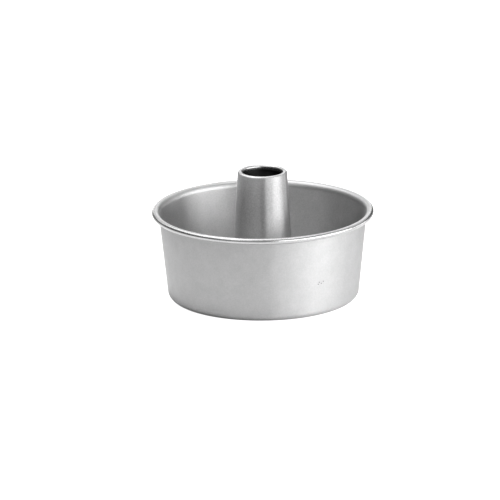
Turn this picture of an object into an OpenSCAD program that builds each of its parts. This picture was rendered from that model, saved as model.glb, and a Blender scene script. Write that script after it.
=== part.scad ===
// Angel food cake pan: a drafted ring with a rolled rim, and a loose base
// plate that carries the tapered centre tube. All sizes in millimetres.
// The origin lies on the pan's axis at table level, and +Z points up.
// Each piece is spun sheet, so each is one outline turned about that axis.

/* [Ring body] */
// Outside diameter at table level, with the drafted wall carried straight down
base_d = 209; // [180:1:260]
// Height of the rolled rim above the table
body_h = 98; // [80:1:120]
// Draft of the wall from the vertical, in degrees
wall_draft = 5.95; // [3:0.05:9]
// Sheet thickness of the ring body
wall_t = 1.2; // [0.8:0.1:1.4]
// Outside radius of the bottom corner
corner_r = 7; // [5:0.5:12]
// Width of the flat ledge turned in under the base plate
ledge_w = 6; // [4:0.5:12]

/* [Rolled rim] */
// Radius of the flare between the wall and the crest, on the cake side
flare_r = 5.7; // [5:0.1:9]
// Outside radius of the rolled bead
bead_r = 3.2; // [2.4:0.1:3.6]
// Turn of the bead from the crest round to its cut edge, in degrees
bead_turn = 262; // [200:1:268]

/* [Base plate] */
// Sheet thickness of the base plate
plate_t = 1.2; // [0.8:0.1:1.6]
// Play between the edge of the plate and the corner of the ring
plate_gap = 0.4; // [0.2:0.1:1]
// Distance from the ledge to the foot of the pressed step
step_inset = 2.5; // [1:0.5:10]
// Rise of the pressed step, from the margin to the raised floor
step_h = 1.6; // [1.2:0.1:2.4]
// Radius of the step's two bends, at the middle of the sheet
step_bend_r = 2; // [1.4:0.1:3]
// Height of the collar above the raised floor
collar_h = 6; // [4:0.5:14]
// Radius of the bend between floor and collar, on the cake side
collar_bend_r = 1.5; // [1:0.1:3]
// Play between the collar and the tube
collar_gap = 0.05; // [0.05:0.05:0.2]

/* [Centre tube] */
// Outside diameter at table level, with the drafted side carried straight down
tube_d = 71; // [56:0.5:90]
// Height of the tube's lip above the table
tube_h = 141.3; // [110:0.1:170]
// Draft of the tube from the vertical, in degrees
tube_draft = 3.45; // [2:0.05:5]
// Sheet thickness of the tube
tube_t = 1; // [0.8:0.1:1.2]
// Outside radius of the lip that curls over into the tube
lip_r = 2.5; // [2:0.1:4]
// Length of the straight skirt inside the lip, a true round bore
skirt_l = 3; // [2:0.5:8]
// Width of the flange that grips the underside of the plate
foot_w = 6; // [4:0.5:10]
// Radius of the bend between the tube and its flange, on the plate side
foot_bend_r = 1.3; // [0.8:0.1:1.8]

/* [Hidden] */
$fn = 128;

// Largest turn between two neighbouring points of a bend, in degrees
bend_step = 7.5;

// Outside radius of the wall and of the tube at a height above the table
function wall_out(z) = base_d / 2 + z * tan(wall_draft);
function tube_out(z) = tube_d / 2 - z * tan(tube_draft);

// Points along a bend in the section plane: x is the radius and y the height
function bend(centre, r, from, to) =
    let (n = ceil(abs(to - from) / bend_step))
    [for (i = [0:n]) let (a = from + (to - from) * i / n) centre + r * [cos(a), sin(a)]];

// Corner: its centre is a radius away from the table and from the wall
corner_c = [wall_out(corner_r) - corner_r / cos(wall_draft), corner_r];
ledge_in = corner_c[0] - ledge_w;

// Rim: the flare runs up to the crest, and the bead hangs from it
crest_x = wall_out(body_h - flare_r) + (flare_r - wall_t) / cos(wall_draft);
flare_c = [crest_x, body_h - flare_r];
bead_c = [crest_x, body_h - bead_r];

// Base plate: its margin lies on the ledge, and a step raises its floor
plate_out = corner_c[0] - plate_gap;
margin_z = wall_t;
floor_z = margin_z + step_h;
step_turn = acos(1 - step_h / (2 * step_bend_r));
step_foot_c = [ledge_in - step_inset, margin_z + plate_t / 2 + step_bend_r];
step_head_c = [step_foot_c[0] - 2 * step_bend_r * sin(step_turn),
    floor_z + plate_t / 2 - step_bend_r];
step_in_r = step_bend_r - plate_t / 2;
step_out_r = step_bend_r + plate_t / 2;

// Collar: it stands along the tube, with a little play
collar_out_r = collar_bend_r + plate_t;
collar_c = [tube_out(floor_z + collar_out_r) + (collar_gap + collar_out_r) / cos(tube_draft),
    floor_z + collar_out_r];
collar_top = floor_z + plate_t + collar_h;
collar_in = tube_out(collar_top) + collar_gap / cos(tube_draft);
collar_out = collar_in + plate_t / cos(tube_draft);

// Tube: its flange lies flat against the underside of the plate's floor
foot_c = [tube_out(floor_z + foot_bend_r) + foot_bend_r / cos(tube_draft), floor_z + foot_bend_r];
foot_out = foot_c[0] + foot_w;
lip_c = [tube_out(tube_h - lip_r) - lip_r / cos(tube_draft), tube_h - lip_r];
bore_r = lip_c[0] - lip_r;
skirt_z = lip_c[1] - skirt_l;

module pan_ring() {
    wall_a = 180 - wall_draft;
    cut_a = 90 - bead_turn;
    color("silver")
        rotate_extrude()
            polygon(concat(
                [[ledge_in, 0]],
                bend(corner_c, corner_r, -90, -wall_draft),
                bend(flare_c, flare_r - wall_t, wall_a, 90),
                bend(bead_c, bead_r - wall_t, 90, cut_a),
                bend(bead_c, bead_r, cut_a, 90),
                bend(flare_c, flare_r, 90, wall_a),
                bend(corner_c, corner_r - wall_t, -wall_draft, -90),
                [[ledge_in, wall_t]]
            ));
}

module base_plate() {
    tube_a = 180 + tube_draft;
    color("gainsboro")
        rotate_extrude()
            polygon(concat(
                [[plate_out, margin_z + plate_t], [plate_out, margin_z]],
                bend(step_foot_c, step_out_r, 270, 270 - step_turn),
                bend(step_head_c, step_in_r, 90 - step_turn, 90),
                bend(collar_c, collar_out_r, 270, tube_a),
                [[collar_in, collar_top], [collar_out, collar_top]],
                bend(collar_c, collar_bend_r, tube_a, 270),
                bend(step_head_c, step_out_r, 90, 90 - step_turn),
                bend(step_foot_c, step_in_r, 270 - step_turn, 270)
            ));
}

module centre_tube() {
    foot_a = 180 + tube_draft;
    color("darkgray")
        rotate_extrude()
            polygon(concat(
                [[foot_out, floor_z], [foot_out, floor_z - tube_t]],
                bend(foot_c, foot_bend_r + tube_t, 270, foot_a),
                bend(lip_c, lip_r - tube_t, tube_draft, 180),
                [[bore_r + tube_t, skirt_z], [bore_r, skirt_z]],
                bend(lip_c, lip_r, 180, tube_draft),
                bend(foot_c, foot_bend_r, foot_a, 270)
            ));
}

pan_ring();
base_plate();
centre_tube();
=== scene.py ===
"""Angel food cake pan: the satin aluminium pieces, the photo's camera and a soft studio."""

import logging
import math
from collections.abc import Callable
from dataclasses import dataclass
from enum import Enum

import bpy
from mathutils import Matrix, Vector


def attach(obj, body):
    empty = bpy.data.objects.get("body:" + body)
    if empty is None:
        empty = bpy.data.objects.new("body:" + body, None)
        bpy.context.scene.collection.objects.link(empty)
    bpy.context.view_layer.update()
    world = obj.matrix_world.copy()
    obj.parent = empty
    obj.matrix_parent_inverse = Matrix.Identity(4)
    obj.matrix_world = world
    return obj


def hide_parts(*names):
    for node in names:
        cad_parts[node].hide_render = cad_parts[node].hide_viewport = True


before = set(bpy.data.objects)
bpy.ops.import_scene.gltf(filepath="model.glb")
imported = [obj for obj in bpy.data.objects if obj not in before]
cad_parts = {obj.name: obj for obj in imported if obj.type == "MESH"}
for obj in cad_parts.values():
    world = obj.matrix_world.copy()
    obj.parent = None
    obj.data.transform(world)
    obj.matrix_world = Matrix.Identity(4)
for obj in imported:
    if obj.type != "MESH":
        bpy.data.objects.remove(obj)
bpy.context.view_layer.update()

LOG = logging.getLogger("cake_pan")

MM = 0.001
PHOTO_PX = 500
SENSOR_MM = 36.0
FULL_TURN = 2 * math.pi
WHITE = (1, 1, 1, 1)

# A face looks towards the axis, or up, where this much of its normal does.
LEAST_INWARD = 0.1
LEAST_UPWARD = 0.5

# Turns the wider spread of light from along the spinning lines to across them.
QUARTER_TURN = 0.25

Face = bpy.types.MeshPolygon
Piece = bpy.types.Object
Socket = bpy.types.NodeSocket


class Body(Enum):
    """The two bodies that the pan comes apart into."""

    RING = "ring"
    INSERT = "insert"


class Along(Enum):
    """The way along which a finish changes, or its spinning lines follow one another."""

    HEIGHT = "height above the table"
    RADIUS = "distance from the pan's axis"


class Arithmetic(Enum):
    """What a node makes of two values."""

    ADD = "ADD"
    MULTIPLY = "MULTIPLY"


def tan(degrees: float) -> float:
    """Tangent of an angle in degrees."""
    return math.tan(math.radians(degrees))


def cos(degrees: float) -> float:
    """Cosine of an angle in degrees."""
    return math.cos(math.radians(degrees))


def sin(degrees: float) -> float:
    """Sine of an angle in degrees."""
    return math.sin(math.radians(degrees))


def deselect_all() -> None:
    """Clear the selection, so that an operator acts only on what is added next."""
    bpy.ops.object.select_all(action="DESELECT")


def activate(piece: Piece) -> None:
    """Select one piece alone and make it the active one.

    Args:
        piece: the piece that the next operators act on.
    """
    deselect_all()
    piece.select_set(True)
    bpy.context.view_layer.objects.active = piece


def faces_axis(face: Face) -> bool:
    """True where a face looks towards the pan's axis, and not just up or down."""
    return face.normal.to_2d().dot(face.center.to_2d().normalized()) < -LEAST_INWARD


@dataclass
class SheetSpinner:
    """Draws the face of a sheet as a line in the XZ plane and turns it about the pan's axis.

    All positions are in millimetres: x is the distance from the axis and z the height.

    Attributes:
        name: name of the finished piece.
        x: distance of the line's end from the axis.
        z: height of the line's end.
        bend_step: largest turn between two points of a bend, in degrees.
        segments: number of steps round the axis.
        merge_within: distance at which the first and the last step become one.
        smooth_below: angle between faces up to which they are shaded as one, in degrees.
        sharp_above: angle between faces from which an edge is rounded, in degrees.
        edge_steps: number of steps across a rounded edge.
    """

    name: str
    x: float
    z: float
    bend_step: float = 6.0
    segments: int = 288
    merge_within: float = 0.01
    smooth_below: float = 45.0
    sharp_above: float = 50.0
    edge_steps: int = 3

    def start(self) -> None:
        """Put the first point of the line down and stay in edit mode."""
        deselect_all()
        bpy.ops.mesh.primitive_plane_add(size=MM, location=(self.x * MM, 0, self.z * MM))
        piece = bpy.context.active_object
        piece.name = self.name
        piece.data.name = self.name
        bpy.ops.object.transform_apply(location=True, rotation=True, scale=True)
        bpy.ops.object.mode_set(mode="EDIT")
        bpy.ops.mesh.select_mode(type="VERT")
        bpy.ops.mesh.select_all(action="SELECT")
        bpy.ops.mesh.merge(type="CENTER")

    def run_to(self, x: float, z: float, cuts: int = 1) -> None:
        """Draw a straight stretch from the line's end.

        Args:
            x: distance of the new end from the axis.
            z: height of the new end.
            cuts: number of equal lengths that the stretch is drawn in.
        """
        step = ((x - self.x) * MM / cuts, 0, (z - self.z) * MM / cuts)
        for _ in range(cuts):
            bpy.ops.mesh.extrude_region_move(TRANSFORM_OT_translate={"value": step})
        self.x, self.z = x, z

    def bend(self, centre: Vector, turn: float) -> None:
        """Draw a round stretch from the line's end.

        Args:
            centre: centre of the bend, as a two-dimensional vector.
            turn: angle of the bend in degrees, from x towards z when positive.
        """
        bpy.ops.mesh.spin(
            steps=math.ceil(abs(turn) / self.bend_step),
            dupli=False,
            angle=math.radians(abs(turn)),
            center=(centre.x * MM, 0, centre.y * MM),
            axis=(0, 1 if turn > 0 else -1, 0),
        )
        dx, dz = self.x - centre.x, self.z - centre.y
        self.x = centre.x + dx * cos(turn) - dz * sin(turn)
        self.z = centre.y + dx * sin(turn) + dz * cos(turn)

    def finish(self, thickness: float, edge_round: float) -> Piece:
        """Turn the line round the axis, give the sheet its thickness and round its cut edges.

        The drawn line is the sheet's face, and the thickness grows behind it.

        Args:
            thickness: thickness of the sheet.
            edge_round: radius left on the cut edges.

        Returns:
            The finished piece.
        """
        bpy.ops.mesh.select_all(action="SELECT")
        bpy.ops.mesh.spin(
            steps=self.segments, dupli=False, angle=FULL_TURN, center=(0, 0, 0), axis=(0, 0, 1)
        )
        bpy.ops.mesh.select_all(action="SELECT")
        bpy.ops.mesh.remove_doubles(threshold=self.merge_within * MM)
        bpy.ops.mesh.normals_make_consistent(inside=False)
        bpy.ops.object.mode_set(mode="OBJECT")
        piece = bpy.context.active_object
        if sum(face.normal.z * face.area for face in piece.data.polygons) < 0:
            bpy.ops.object.mode_set(mode="EDIT")
            bpy.ops.mesh.flip_normals()
            bpy.ops.object.mode_set(mode="OBJECT")
        activate(piece)
        self.thicken(piece, thickness)
        self.round_edges(piece, edge_round)
        bpy.ops.object.shade_smooth_by_angle(angle=math.radians(self.smooth_below))
        return piece

    def thicken(self, piece: Piece, thickness: float) -> None:
        """Give the turned face an even thickness behind it.

        Args:
            piece: the turned face, which is the active piece.
            thickness: thickness of the sheet.
        """
        modifier = piece.modifiers.new("sheet", "SOLIDIFY")
        modifier.thickness = thickness * MM
        modifier.offset = -1
        modifier.use_even_offset = True
        bpy.ops.object.modifier_apply(modifier=modifier.name)

    def round_edges(self, piece: Piece, edge_round: float) -> None:
        """Break the sharp cut edges of the sheet.

        Args:
            piece: the sheet, which is the active piece.
            edge_round: radius left on the cut edges.
        """
        modifier = piece.modifiers.new("edges", "BEVEL")
        modifier.limit_method = "ANGLE"
        modifier.angle_limit = math.radians(self.sharp_above)
        modifier.width = edge_round * MM
        modifier.segments = self.edge_steps
        bpy.ops.object.modifier_apply(modifier=modifier.name)


@dataclass(frozen=True)
class NodeGraph:
    """Short ways to add nodes to a material.

    Attributes:
        tree: the material's tree of nodes.
    """

    tree: bpy.types.NodeTree

    def add(self, kind: str) -> bpy.types.Node:
        """Add a node of a kind."""
        return self.tree.nodes.new(kind)

    def join(self, source: Socket, target: Socket) -> None:
        """Let one socket feed another."""
        self.tree.links.new(source, target)

    def place(self) -> Socket:
        """Give the place on the piece, in object coordinates."""
        return self.add("ShaderNodeTexCoord").outputs["Object"]

    def turning(self) -> Socket:
        """Give the direction round the pan's axis.

        Returns:
            The socket that holds it.
        """
        tangent = self.add("ShaderNodeTangent")
        tangent.direction_type = "RADIAL"
        tangent.axis = "Z"
        return tangent.outputs["Tangent"]

    def combine(self, work: Arithmetic, first: Socket, second: Socket) -> Socket:
        """Make one value of two.

        Args:
            work: what is made of them.
            first: socket that holds the first value.
            second: socket that holds the second value.

        Returns:
            The socket that holds the result.
        """
        node = self.add("ShaderNodeMath")
        node.operation = work.value
        self.join(first, node.inputs[0])
        self.join(second, node.inputs[1])
        return node.outputs["Value"]

    def remap(
        self,
        value: Socket,
        given: tuple[float, float],
        wanted: tuple[float, float],
        smooth: bool = False,
    ) -> Socket:
        """Turn one range of values into another, and hold the ends beyond it.

        Args:
            value: socket that holds the value.
            given: the two ends of its range.
            wanted: what the two ends become.
            smooth: True where the change starts and ends softly.

        Returns:
            The socket that holds the result.
        """
        node = self.add("ShaderNodeMapRange")
        node.interpolation_type = "SMOOTHSTEP" if smooth else "LINEAR"
        node.inputs["From Min"].default_value, node.inputs["From Max"].default_value = given
        node.inputs["To Min"].default_value, node.inputs["To Max"].default_value = wanted
        self.join(value, node.inputs["Value"])
        return node.outputs["Result"]

    def noise(self, place: Socket, scale: float, detail: float, roughness: float) -> Socket:
        """Make a noise from 0 to 1.

        Args:
            place: socket that holds the place on the piece.
            scale: number of waves in a metre.
            detail: number of finer layers.
            roughness: strength of the finer layers.

        Returns:
            The socket that holds the noise.
        """
        node = self.add("ShaderNodeTexNoise")
        node.inputs["Scale"].default_value = scale
        node.inputs["Detail"].default_value = detail
        node.inputs["Roughness"].default_value = roughness
        self.join(place, node.inputs["Vector"])
        return node.outputs["Fac"]

    def distance(self, place: Socket, centre: tuple[float, float, float] = (0, 0, 0)) -> Socket:
        """Measure the distance from a point.

        Args:
            place: socket that holds the place on the piece.
            centre: the point, in millimetres.

        Returns:
            The socket that holds the distance.
        """
        node = self.add("ShaderNodeVectorMath")
        node.operation = "DISTANCE"
        node.inputs[1].default_value = tuple(value * MM for value in centre)
        self.join(place, node.inputs[0])
        return node.outputs["Value"]

    def measure(self, along: Along, place: Socket) -> Socket:
        """Measure the height or the distance from the pan's axis.

        Args:
            along: which of the two is measured.
            place: socket that holds the place on the piece.

        Returns:
            The socket that holds the measure.
        """
        apart = self.add("ShaderNodeSeparateXYZ")
        self.join(place, apart.inputs["Vector"])
        if along is Along.HEIGHT:
            return apart.outputs["Z"]
        flat = self.add("ShaderNodeCombineXYZ")
        self.join(apart.outputs["X"], flat.inputs["X"])
        self.join(apart.outputs["Y"], flat.inputs["Y"])
        return self.distance(flat.outputs["Vector"])

    def relief(self, height: Socket, depth: float, under: Socket | None = None) -> Socket:
        """Let a height stand out of the surface.

        Args:
            height: socket that holds the height, from 0 to 1.
            depth: height of the relief, in millimetres.
            under: socket that holds the relief beneath, if there is one.

        Returns:
            The socket that holds the surface's normal.
        """
        node = self.add("ShaderNodeBump")
        node.inputs["Distance"].default_value = depth * MM
        self.join(height, node.inputs["Height"])
        if under is not None:
            self.join(under, node.inputs["Normal"])
        return node.outputs["Normal"]


@dataclass(frozen=True)
class Ramp:
    """A roughness that changes smoothly with the height or with the distance from the axis.

    Attributes:
        start: height or distance up to which the finish keeps its own roughness, in millimetres.
        end: height or distance from which the other roughness holds.
        roughness: that other roughness.
        along: which of the two counts.
    """

    start: float
    end: float
    roughness: float
    along: Along = Along.HEIGHT


@dataclass(frozen=True)
class SatinFinish:
    """Satin anodised aluminium with its grain and the faint lines that spinning leaves.

    Attributes:
        name: name of the material.
        tone: base colour, the same grey in all three channels but for a slight tint.
        roughness: mean roughness.
        grain: depth of the fine grain, in millimetres.
        line_depth: depth of the spinning lines, in millimetres.
        lines: the way along which the lines follow one another.
        line_spread: how much more the lines spread light across themselves than along, 0 to 1.
        mottle: how much the tone varies from spot to spot, as a share of itself.
        cloud: how much it varies over larger patches, as a share of itself.
        ramp: change of the roughness towards a rolled part, if there is one.
        scuffs: places of small dark marks, in millimetres.
        uneven: how far the roughness goes up and down with the grain.
        grain_scale: number of grains in a metre.
        spot_scale: number of spots in a metre.
        spot_noise: values of the spots' noise that give the darkest and the lightest spot.
        cloud_scale: number of larger patches in a metre.
        wall_lines: number of lines in a metre along X, Y and Z on a wall.
        disc_lines: number of lines in a metre outwards on a disc.
        scuff_core: radius in which a mark is darkest, in millimetres.
        scuff_edge: radius at which it ends.
        scuff_tone: tone of a mark, as a share of the finish's own.
    """

    name: str
    tone: tuple[float, float, float]
    roughness: float
    grain: float = 0.004
    line_depth: float = 0.002
    lines: Along = Along.HEIGHT
    line_spread: float = 0.8
    mottle: float = 0.06
    cloud: float = 0.12
    ramp: Ramp | None = None
    scuffs: tuple[tuple[float, float, float], ...] = ()
    uneven: float = 0.05
    grain_scale: float = 1400
    spot_scale: float = 650
    spot_noise: tuple[float, float] = (0.3, 0.7)
    cloud_scale: float = 70
    wall_lines: tuple[float, float, float] = (4, 4, 700)
    disc_lines: float = 900
    scuff_core: float = 0.3
    scuff_edge: float = 1.0
    scuff_tone: float = 0.35

    def build(self) -> bpy.types.Material:
        """Make the material.

        Returns:
            A node material that reads the piece's object coordinates.
        """
        material = bpy.data.materials.new(self.name)
        material.use_nodes = True
        graph = NodeGraph(material.node_tree)
        shader = material.node_tree.nodes["Principled BSDF"].inputs
        shader["Metallic"].default_value = 1.0
        shader["Anisotropic"].default_value = self.line_spread
        shader["Anisotropic Rotation"].default_value = QUARTER_TURN
        place = graph.place()
        grain = graph.noise(place, self.grain_scale, detail=3, roughness=0.5)
        grained = graph.relief(grain, self.grain)
        spun = graph.relief(self.spinning_lines(graph, place), self.line_depth, under=grained)
        graph.join(graph.turning(), shader["Tangent"])
        graph.join(self.tone_over(graph, place), shader["Base Color"])
        graph.join(self.roughness_over(graph, place, grain), shader["Roughness"])
        graph.join(spun, shader["Normal"])
        return material

    def tone_over(self, graph: NodeGraph, place: Socket) -> Socket:
        """Make the colour: clouded, mottled and marked by the scuffs.

        Args:
            graph: nodes of the material.
            place: socket that holds the place on the piece.

        Returns:
            The socket that holds the colour.
        """
        cloud = graph.noise(place, self.cloud_scale, detail=6, roughness=0.65)
        spots = graph.noise(place, self.spot_scale, detail=2, roughness=0.8)
        factor = graph.combine(
            Arithmetic.MULTIPLY,
            graph.remap(cloud, (0, 1), (1 - self.cloud, 1 + self.cloud)),
            graph.remap(spots, self.spot_noise, (1 - self.mottle, 1 + self.mottle)),
        )
        for scuff in self.scuffs:
            away = graph.distance(place, scuff)
            reach = (self.scuff_core * MM, self.scuff_edge * MM)
            mark = graph.remap(away, reach, (self.scuff_tone, 1), smooth=True)
            factor = graph.combine(Arithmetic.MULTIPLY, factor, mark)
        tone = graph.add("ShaderNodeVectorMath")
        tone.operation = "SCALE"
        tone.inputs[0].default_value = self.tone
        graph.join(factor, tone.inputs["Scale"])
        return tone.outputs["Vector"]

    def roughness_over(self, graph: NodeGraph, place: Socket, grain: Socket) -> Socket:
        """Make the roughness, with its grain and its ramp.

        Args:
            graph: nodes of the material.
            place: socket that holds the place on the piece.
            grain: socket that holds the fine grain.

        Returns:
            The socket that holds the roughness.
        """
        span = (self.roughness - self.uneven, self.roughness + self.uneven)
        rough = graph.remap(grain, (0, 1), span)
        if self.ramp is None:
            return rough
        rolling = graph.remap(
            graph.measure(self.ramp.along, place),
            (self.ramp.start * MM, self.ramp.end * MM),
            (1, self.ramp.roughness / self.roughness),
            smooth=True,
        )
        return graph.combine(Arithmetic.MULTIPLY, rough, rolling)

    def spinning_lines(self, graph: NodeGraph, place: Socket) -> Socket:
        """Make the height of the lines that a spinning tool leaves.

        Args:
            graph: nodes of the material.
            place: socket that holds the place on the piece.

        Returns:
            The socket that holds the height.
        """
        if self.lines is Along.RADIUS:
            outwards = graph.add("ShaderNodeCombineXYZ")
            graph.join(graph.measure(Along.RADIUS, place), outwards.inputs["X"])
            return graph.noise(outwards.outputs["Vector"], self.disc_lines, detail=2, roughness=0.5)
        stretch = graph.add("ShaderNodeMapping")
        stretch.inputs["Scale"].default_value = self.wall_lines
        graph.join(place, stretch.inputs["Vector"])
        return graph.noise(stretch.outputs["Vector"], scale=1, detail=2, roughness=0.5)


ALUMINIUM = (0.46, 0.46, 0.462)
# The tube's tone is a lighter copy of the ring's aluminium: painted light that makes up for the
# light its foot misses.
TUBE_ALUMINIUM_LIGHTENED = (0.50, 0.50, 0.502)
PLATE_ALUMINIUM = (0.60, 0.60, 0.602)
# Near-black tone of the tube's bore: painted shade for the dark inside of the tube, not a colour of
# the metal.
BORE_PAINTED_SHADE_TONE = (0.05, 0.05, 0.05)
WALL_SCUFFS = ((59.6, -90.6, 37.7), (60.7, -90.1, 39.8), (62.9, -88.4, 38.1), (65.1, -87.0, 40.0))
RIM_SCUFFS = ((37.7, 112.5, 93.5), (53.2, 106.0, 93.5), (75.3, 91.6, 93.5))

OUTSIDE_FINISH = SatinFinish(
    name="ring_outside",
    tone=ALUMINIUM,
    roughness=0.52,
    line_spread=0.75,
    ramp=Ramp(start=88.5, end=91.5, roughness=0.46),
    scuffs=WALL_SCUFFS,
)
INSIDE_FINISH = SatinFinish(
    name="ring_inside",
    tone=ALUMINIUM,
    roughness=0.46,
    line_spread=0.9,
    mottle=0.1,
    ramp=Ramp(start=88.5, end=91.5, roughness=0.42),
)
RIM_FINISH = SatinFinish(
    name="rim_rolled",
    tone=ALUMINIUM,
    roughness=0.45,
    grain=0.003,
    line_depth=0.001,
    line_spread=0.15,
    ramp=Ramp(start=116.5, end=118.5, roughness=0.25, along=Along.RADIUS),
    scuffs=RIM_SCUFFS,
)
PLATE_FINISH = SatinFinish(
    name="plate_satin",
    tone=PLATE_ALUMINIUM,
    roughness=0.60,
    line_depth=0.006,
    lines=Along.RADIUS,
)
TUBE_FINISH = SatinFinish(
    name="tube_satin",
    tone=TUBE_ALUMINIUM_LIGHTENED,
    roughness=0.46,
    line_spread=0.9,
    mottle=0.15,
    cloud=0.05,
)
LIP_FINISH = SatinFinish(
    name="lip_rolled",
    tone=TUBE_ALUMINIUM_LIGHTENED,
    roughness=0.28,
    grain=0.003,
    line_depth=0.001,
    line_spread=0.15,
)
BORE_PAINTED_SHADE_FINISH = SatinFinish(name="tube_inside_painted_shade", tone=BORE_PAINTED_SHADE_TONE, roughness=0.52)


def dress_faces(
    piece: Piece, finishes: tuple[SatinFinish, ...], finish_of: Callable[[Face], SatinFinish]
) -> None:
    """Give a piece its finishes, and each face the one that a rule picks.

    Args:
        piece: the piece, with no material yet.
        finishes: the finishes that it has.
        finish_of: the rule, which names one of them for a face.
    """
    for finish in finishes:
        piece.data.materials.append(finish.build())
    for face in piece.data.polygons:
        face.material_index = finishes.index(finish_of(face))


@dataclass
class PanRing:
    """The ring body: ledge, corner, drafted wall, flare and rolled bead, all one sheet.

    Attributes:
        base_d: outside diameter with the wall carried down to the table.
        body_h: height of the rim.
        draft: draft of the wall in degrees.
        sheet: thickness of the sheet.
        edge_round: radius left on its cut edges.
        corner_r: outside radius of the bottom corner.
        ledge_w: width of the flat ledge.
        flare_r: radius of the flare on the cake side.
        flare_head_r: radius of the flare's upper part, as the light shows it.
        flare_head_turn: turn of that upper part in degrees; the part below it bends less.
        bead_r: outside radius of the bead.
        bead_turn: turn of the bead in degrees.
    """

    base_d: float = 209.0
    body_h: float = 98.0
    draft: float = 5.95
    sheet: float = 1.2
    edge_round: float = 0.25
    corner_r: float = 7.0
    ledge_w: float = 6.0
    flare_r: float = 5.7
    flare_head_r: float = 5.2
    flare_head_turn: float = 60.0
    bead_r: float = 3.2
    bead_turn: float = 262.0

    def wall_out(self, z: float) -> float:
        """Outside radius of the wall at a height."""
        return self.base_d / 2 + z * tan(self.draft)

    @property
    def corner_c(self) -> Vector:
        """Centre of the corner's bend."""
        x = self.wall_out(self.corner_r) - self.corner_r / cos(self.draft)
        return Vector((x, self.corner_r))

    @property
    def ledge_in(self) -> float:
        """Radius of the opening inside the ledge."""
        return self.corner_c.x - self.ledge_w

    @property
    def rim_foot_out(self) -> float:
        """Outside radius of the wall at the foot of the rim."""
        return self.wall_out(self.body_h - self.flare_r)

    @property
    def rolled_from(self) -> float:
        """Distance from the axis past which all of the sheet is rolled."""
        return self.rim_foot_out + self.sheet

    @property
    def crest_x(self) -> float:
        """Distance of the rim's crest from the axis."""
        return self.rim_foot_out + (self.flare_r - self.sheet) / cos(self.draft)

    @property
    def flare_head_c(self) -> Vector:
        """Centre of the flare's upper part."""
        return Vector((self.crest_x, self.body_h - self.flare_head_r))

    @property
    def flare_foot_r(self) -> float:
        """Radius of the flare's lower part, which meets both the wall and the upper part.

        Returns:
            The radius on the cake side.
        """
        apart = self.flare_r - (self.flare_r - self.flare_head_r) * sin(self.draft)
        share = sin(self.flare_head_turn + self.draft)
        return (apart - share * self.flare_head_r) / (1 - share)

    @property
    def flare_foot_c(self) -> Vector:
        """Centre of the flare's lower part."""
        turned = Vector((sin(self.flare_head_turn), -cos(self.flare_head_turn)))
        return self.flare_head_c + (self.flare_foot_r - self.flare_head_r) * turned

    @property
    def flare_start(self) -> float:
        """Height at which the wall ends and the flare starts."""
        return self.flare_foot_c.y + self.flare_foot_r * sin(self.draft)

    def build(self) -> Piece:
        """Model the ring.

        Returns:
            The finished piece.
        """
        wall_in = self.flare_foot_c.x - self.flare_foot_r * cos(self.draft)
        bead_c = Vector((self.crest_x, self.body_h - self.bead_r))
        line = SheetSpinner("ring_body", self.ledge_in, self.sheet)
        line.start()
        line.run_to(self.corner_c.x, self.sheet, cuts=2)
        line.bend(self.corner_c, 90 - self.draft)
        line.run_to(wall_in, self.flare_start, cuts=12)
        line.bend(self.flare_foot_c, self.draft + self.flare_head_turn - 90)
        line.bend(self.flare_head_c, -self.flare_head_turn)
        line.bend(bead_c, -self.bead_turn)
        return line.finish(self.sheet, self.edge_round)

    def finish_of(self, face: Face) -> SatinFinish:
        """Pick the finish of a face.

        Args:
            face: a face of the ring.

        Returns:
            The rim's finish on all that is rolled, or else the one of the face's side.
        """
        above = face.center.z > self.flare_start * MM
        if above or face.center.to_2d().length > self.rolled_from * MM:
            return RIM_FINISH
        if faces_axis(face) or face.normal.z > LEAST_UPWARD:
            return INSIDE_FINISH
        return OUTSIDE_FINISH

    def dress(self) -> Piece:
        """Model the ring, give it its finish and let it stand for the solid.

        Returns:
            The finished piece.
        """
        piece = self.build()
        dress_faces(piece, (OUTSIDE_FINISH, RIM_FINISH, INSIDE_FINISH), self.finish_of)
        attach(piece, Body.RING.value)
        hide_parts("pan_ring")
        return piece


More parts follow.
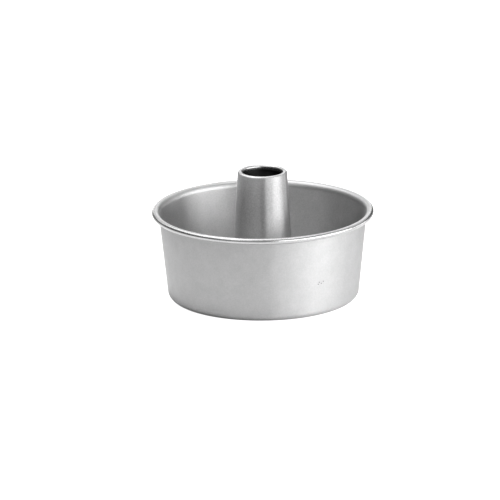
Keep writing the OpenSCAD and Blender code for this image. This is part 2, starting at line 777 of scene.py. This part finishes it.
@dataclass
class CentreTube:
    """The tapered tube: flange, side, lip curled over and straight skirt, all one sheet.

    Attributes:
        floor_z: height of the underside of the plate's floor.
        tube_d: outside diameter with the side carried down to the table.
        tube_h: height of the lip.
        draft: draft of the side in degrees.
        sheet: thickness of the sheet.
        edge_round: radius left on its cut edges.
        lip_r: outside radius of the lip.
        skirt_l: length of the skirt inside the lip.
        lip_inside: how far below the lip's curl its smooth finish reaches inside.
        foot_w: width of the flange.
        foot_bend_r: radius of the bend above the flange.
    """

    floor_z: float
    tube_d: float = 71.0
    tube_h: float = 141.3
    draft: float = 3.45
    sheet: float = 1.0
    edge_round: float = 0.2
    lip_r: float = 2.5
    skirt_l: float = 3.0
    lip_inside: float = 1.0
    foot_w: float = 6.0
    foot_bend_r: float = 1.3

    def tube_out(self, z: float) -> float:
        """Outside radius of the tube at a height."""
        return self.tube_d / 2 - z * tan(self.draft)

    @property
    def foot_c(self) -> Vector:
        """Centre of the bend above the flange."""
        z = self.floor_z + self.foot_bend_r
        return Vector((self.tube_out(z) + self.foot_bend_r / cos(self.draft), z))

    @property
    def lip_c(self) -> Vector:
        """Centre of the lip."""
        z = self.tube_h - self.lip_r
        return Vector((self.tube_out(z) - self.lip_r / cos(self.draft), z))

    def build(self) -> Piece:
        """Model the tube.

        Returns:
            The finished piece.
        """
        side_top = self.lip_c + self.lip_r * Vector((cos(self.draft), sin(self.draft)))
        line = SheetSpinner("chimney_tube", self.foot_c.x + self.foot_w, self.floor_z)
        line.start()
        line.run_to(self.foot_c.x, self.floor_z, cuts=2)
        line.bend(self.foot_c, self.draft - 90)
        line.run_to(side_top.x, side_top.y, cuts=16)
        line.bend(self.lip_c, 180 - self.draft)
        line.run_to(line.x, self.lip_c.y - self.skirt_l, cuts=2)
        return line.finish(self.sheet, self.edge_round)

    def finish_of(self, face: Face) -> SatinFinish:
        """Pick the finish of a face.

        Args:
            face: a face of the tube.

        Returns:
            The lip's finish at the top; below it, the near-black painted shade of the bore on faces
            that look towards the axis, or else the tube's own finish.
        """
        inward = faces_axis(face)
        depth = self.lip_r + self.lip_inside if inward else self.lip_r / 2
        if face.center.z > (self.tube_h - depth) * MM:
            return LIP_FINISH
        # Faces inside the tube below the lip get the near-black tone, painted shade for the dark
        # bore.
        return BORE_PAINTED_SHADE_FINISH if inward else TUBE_FINISH

    def dress(self) -> Piece:
        """Model the tube, give it its finish and let it stand for the solid.

        Returns:
            The finished piece.
        """
        piece = self.build()
        dress_faces(piece, (TUBE_FINISH, BORE_PAINTED_SHADE_FINISH, LIP_FINISH), self.finish_of)
        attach(piece, Body.INSERT.value)
        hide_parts("centre_tube")
        return piece


@dataclass
class BasePlate:
    """The loose disc: margin on the ledge, pressed step, raised floor and collar.

    Attributes:
        ring: the ring that carries it.
        sheet: thickness of the sheet.
        edge_round: radius left on its cut edges.
        play: gap between the edge and the ring's corner.
        step_inset: distance from the ledge to the foot of the step.
        step_h: rise of the step.
        step_bend_r: radius of the step's bends at the middle of the sheet.
        collar_h: height of the collar above the floor.
        collar_bend_r: radius of the bend between floor and collar.
        collar_gap: gap between the collar and the tube.
    """

    ring: PanRing
    sheet: float = 1.2
    edge_round: float = 0.25
    play: float = 0.4
    step_inset: float = 2.5
    step_h: float = 1.6
    step_bend_r: float = 2.0
    collar_h: float = 6.0
    collar_bend_r: float = 1.5
    collar_gap: float = 0.05

    @property
    def floor_z(self) -> float:
        """Height of the underside of the raised floor."""
        return self.ring.sheet + self.step_h

    @property
    def floor_top(self) -> float:
        """Height of the upper face of the raised floor."""
        return self.floor_z + self.sheet

    @property
    def margin_top(self) -> float:
        """Height of the upper face of the margin."""
        return self.ring.sheet + self.sheet

    @property
    def step_turn(self) -> float:
        """Turn of each of the step's two bends in degrees."""
        return math.degrees(math.acos(1 - self.step_h / (2 * self.step_bend_r)))

    @property
    def step_foot_c(self) -> Vector:
        """Centre of the bend at the foot of the step."""
        z = self.margin_top - self.sheet / 2 + self.step_bend_r
        return Vector((self.ring.ledge_in - self.step_inset, z))

    @property
    def step_head_c(self) -> Vector:
        """Centre of the bend at the head of the step."""
        x = self.step_foot_c.x - 2 * self.step_bend_r * sin(self.step_turn)
        return Vector((x, self.floor_top - self.sheet / 2 - self.step_bend_r))

    def build(self, tube: CentreTube) -> Piece:
        """Model the plate round a tube.

        Args:
            tube: the tube that passes through the collar.

        Returns:
            The finished piece.
        """
        collar_out_r = self.collar_bend_r + self.sheet
        bend_z = self.floor_z + collar_out_r
        bend_x = tube.tube_out(bend_z) + (self.collar_gap + collar_out_r) / cos(tube.draft)
        collar_top = self.floor_top + self.collar_h
        collar_out = tube.tube_out(collar_top) + (self.collar_gap + self.sheet) / cos(tube.draft)
        line = SheetSpinner("base_disc", self.ring.corner_c.x - self.play, self.margin_top)
        line.start()
        line.run_to(self.step_foot_c.x, self.margin_top, cuts=3)
        line.bend(self.step_foot_c, -self.step_turn)
        line.bend(self.step_head_c, self.step_turn)
        line.run_to(bend_x, self.floor_top, cuts=10)
        line.bend(Vector((bend_x, bend_z)), tube.draft - 90)
        line.run_to(collar_out, collar_top, cuts=2)
        return line.finish(self.sheet, self.edge_round)

    def dress(self, tube: CentreTube) -> Piece:
        """Model the plate, give it its finish and let it stand for the solid.

        Args:
            tube: the tube that passes through the collar.

        Returns:
            The finished piece.
        """
        piece = self.build(tube)
        piece.data.materials.append(PLATE_FINISH.build())
        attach(piece, Body.INSERT.value)
        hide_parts("base_plate")
        return piece


@dataclass(frozen=True)
class PhotoCamera:
    """The camera of the photo, found from the pan's silhouette.

    Attributes:
        elevation: angle of the view above the table, in degrees.
        distance: distance from the camera to the point that it looks at, in millimetres.
        focal_px: focal length in pixels of the photo.
        aim_z: height of the point on the axis that it looks at, in millimetres.
        aim_px: pixel of the photo at which that point lies.
        roll: turn of the picture about the line of sight, in degrees.
        view_end: distance past which nothing is seen, in metres.
    """

    elevation: float = 16.39
    distance: float = 7359.0
    focal_px: float = 6690.0
    aim_z: float = 45.0
    aim_px: tuple[float, float] = (263.17, 254.89)
    roll: float = -0.568
    view_end: float = 100.0

    def build(self) -> bpy.types.Object:
        """Place the camera and make it the scene's.

        Returns:
            The camera.
        """
        data = bpy.data.cameras.new("photo_camera")
        camera = bpy.data.objects.new("photo_camera", data)
        bpy.context.scene.collection.objects.link(camera)
        data.sensor_width = SENSOR_MM
        data.lens = self.focal_px * SENSOR_MM / PHOTO_PX
        data.shift_x = (PHOTO_PX / 2 - self.aim_px[0]) / PHOTO_PX
        data.shift_y = (self.aim_px[1] - PHOTO_PX / 2) / PHOTO_PX
        data.clip_end = self.view_end
        back = Vector((0, -cos(self.elevation), sin(self.elevation)))
        place = Vector((0, 0, self.aim_z * MM)) + back * self.distance * MM
        level = back.to_track_quat("Z", "Y").to_matrix().to_4x4()
        roll = Matrix.Rotation(math.radians(self.roll), 4, back)
        camera.matrix_world = Matrix.Translation(place) @ roll @ level
        bpy.context.scene.camera = camera
        return camera


@dataclass(frozen=True)
class SoftLamp:
    """A rectangular lamp that looks at the pan.

    Attributes:
        name: name of the lamp.
        azimuth: direction of the lamp in degrees, 0 towards the camera and 90 to the right.
        elevation: its height above the table, in degrees.
        width: its width in metres.
        height: its height in metres.
        power: its power in watts.
        distance: its distance in metres.
    """

    name: str
    azimuth: float
    elevation: float
    width: float
    height: float
    power: float
    distance: float = 1.5

    def build(self) -> bpy.types.Object:
        """Place the lamp.

        Returns:
            The lamp.
        """
        data = bpy.data.lights.new(self.name, "AREA")
        data.shape = "RECTANGLE"
        data.size = self.width
        data.size_y = self.height
        data.energy = self.power
        lamp = bpy.data.objects.new(self.name, data)
        bpy.context.scene.collection.objects.link(lamp)
        level = Vector((sin(self.azimuth), -cos(self.azimuth), 0)) * cos(self.elevation)
        away = level + Vector((0, 0, sin(self.elevation)))
        turned = away.to_track_quat("Z", "Y").to_matrix().to_4x4()
        lamp.matrix_world = Matrix.Translation(away * self.distance) @ turned
        return lamp


LAMPS = (
    SoftLamp("front_top", azimuth=5, elevation=45, width=1.2, height=0.8, power=2.0),
    SoftLamp("right_front", azimuth=30, elevation=19, width=0.8, height=0.6, power=6.5),
    SoftLamp("right", azimuth=60, elevation=13, width=0.8, height=0.6, power=9.4),
    SoftLamp("right_back", azimuth=86, elevation=14, width=0.7, height=0.6, power=6.2),
    SoftLamp("right_far", azimuth=115, elevation=5, width=0.7, height=0.3, power=2.0),
    SoftLamp("right_top", azimuth=72, elevation=40, width=1.1, height=0.4, power=2.3),
    SoftLamp("back_right", azimuth=145, elevation=42, width=1.6, height=1.0, power=4.5),
    SoftLamp("back_low", azimuth=184, elevation=8, width=1.0, height=0.5, power=2.5),
    SoftLamp("back", azimuth=200, elevation=34, width=1.9, height=0.8, power=4.5),
    SoftLamp("overhead", azimuth=180, elevation=82, width=1.2, height=1.0, power=9.5),
    SoftLamp("top_left", azimuth=255, elevation=60, width=1.7, height=1.0, power=10.3),
    SoftLamp("left_back", azimuth=240, elevation=42, width=1.2, height=1.0, power=1.0),
    SoftLamp("front_left", azimuth=330, elevation=45, width=0.9, height=1.2, power=2.8),
)


@dataclass(frozen=True)
class Studio:
    """A pale floor, a plain sky and soft lamps.

    Attributes:
        lamps: the lamps that hang round the pan.
        floor_r: radius of the floor in metres.
        floor_sides: number of sides that the round floor is drawn with.
        floor_tone: colour of the floor where light falls on it.
        floor_glow: light that the floor shows to the camera and in reflections by itself.
        shade_in: radius up to which the floor's glow is cut to a painted shadow under the pan, in
            millimetres.
        shade_out: radius from which the floor is pale again past the painted shadow, in
            millimetres.
        mirror_shade_out: the same radius for the painted shadow that reflections show.
        pool_fade_start: radius at which the painted pool of light that reflections show round the
            pan starts to fade, in millimetres.
        pool_fade_end: radius from which reflections show the floor's glow at its faded strength, in
            millimetres.
        pool_outer_glow: glow beyond the painted pool of light, as reflections show it.
        shade_lean: how far the painted shadow that reflections show lies off the axis, away from
            the right lamps.
        sky: strength of the plain sky.
    """

    lamps: tuple[SoftLamp, ...] = LAMPS
    floor_r: float = 6.0
    floor_sides: int = 128
    floor_tone: float = 0.4
    floor_glow: float = 1.0
    shade_in: float = 99.0
    shade_out: float = 102.0
    mirror_shade_out: float = 119.0
    pool_fade_start: float = 350.0
    pool_fade_end: float = 550.0
    pool_outer_glow: float = 0.3
    shade_lean: float = 8.0
    sky: float = 0.1

    def build(self) -> None:
        """Lay the floor, fill the sky and hang the lamps."""
        self.lay_floor()
        self.fill_sky()
        for lamp in self.lamps:
            lamp.build()

    def lay_floor(self) -> None:
        """Lay a round floor at table level."""
        deselect_all()
        bpy.ops.mesh.primitive_circle_add(
            vertices=self.floor_sides, radius=self.floor_r, fill_type="NGON"
        )
        floor = bpy.context.active_object
        floor.name = "studio_floor"
        floor.data.materials.append(self.paper())

    def paper(self) -> bpy.types.Material:
        """Make the floor's paper, which lamps light and which also glows for the view.

        Returns:
            A node material.
        """
        material = bpy.data.materials.new("floor_paper")
        material.use_nodes = True
        material.node_tree.nodes.clear()
        graph = NodeGraph(material.node_tree)
        paper = graph.add("ShaderNodeBsdfDiffuse")
        paper.inputs["Color"].default_value = (self.floor_tone,) * 3 + (1,)
        light = graph.add("ShaderNodeEmission")
        graph.join(self.glow(graph), light.inputs["Strength"])
        both = graph.add("ShaderNodeAddShader")
        graph.join(paper.outputs["BSDF"], both.inputs[0])
        graph.join(light.outputs["Emission"], both.inputs[1])
        out = graph.add("ShaderNodeOutputMaterial")
        graph.join(both.outputs["Shader"], out.inputs["Surface"])
        return material

    def glow(self, graph: NodeGraph) -> Socket:
        """Make the paper's own glow, as the camera and as reflections find it.

        Args:
            graph: nodes of the material.

        Returns:
            The socket that holds the strength of the glow.
        """
        rays = graph.add("ShaderNodeLightPath").outputs
        mirrors = graph.combine(Arithmetic.ADD, rays["Is Glossy Ray"], rays["Is Transmission Ray"])
        place = graph.place()
        away = graph.distance(place)
        aside = graph.distance(place, (-self.shade_lean, 0, 0))
        # Painted shadow: the floor's glow fades to nothing under the pan, for the camera and, wider
        # and leaning, in reflections.
        straight = self.shade(graph, away, rays["Is Camera Ray"], self.shade_out)
        mirrored = self.shade(graph, aside, mirrors, self.mirror_shade_out)
        # Painted pool of light: in reflections the floor's glow is full near the pan and fades
        # further out.
        pool_fade = graph.remap(
            away,
            (self.pool_fade_start * MM, self.pool_fade_end * MM),
            (1, self.pool_outer_glow / self.floor_glow),
            smooth=True,
        )
        far = graph.combine(Arithmetic.MULTIPLY, mirrored, pool_fade)
        return graph.combine(Arithmetic.ADD, straight, far)

    def shade(self, graph: NodeGraph, away: Socket, ray: Socket, out: float) -> Socket:
        """Make the glow that one kind of ray finds on the floor, with a painted shadow under the
        pan.

        Args:
            graph: nodes of the material.
            away: socket that holds the distance from the middle of the shade.
            ray: socket that is 1 for the kind of ray.
            out: radius from which the floor is pale, in millimetres.

        Returns:
            The socket that holds the glow.
        """
        lit = graph.remap(away, (self.shade_in * MM, out * MM), (0, self.floor_glow))
        return graph.combine(Arithmetic.MULTIPLY, ray, lit)

    def fill_sky(self) -> None:
        """Give the world one plain grey."""
        world = bpy.data.worlds.new("studio_sky")
        world.use_nodes = True
        sky = world.node_tree.nodes["Background"]
        sky.inputs["Color"].default_value = WHITE
        sky.inputs["Strength"].default_value = self.sky
        bpy.context.scene.world = world


def main() -> None:
    """Build the camera, the pan's pieces and the studio, and report each one."""
    logging.basicConfig(level=logging.INFO, format="%(message)s")
    bpy.context.scene.view_settings.view_transform = "Standard"
    PhotoCamera().build()
    ring = PanRing()
    plate = BasePlate(ring)
    tube = CentreTube(plate.floor_z)
    for piece in (ring.dress(), tube.dress(), plate.dress(tube)):
        LOG.info("%s: %d faces", piece.name, len(piece.data.polygons))
    Studio().build()


if __name__ == "__main__":
    main()
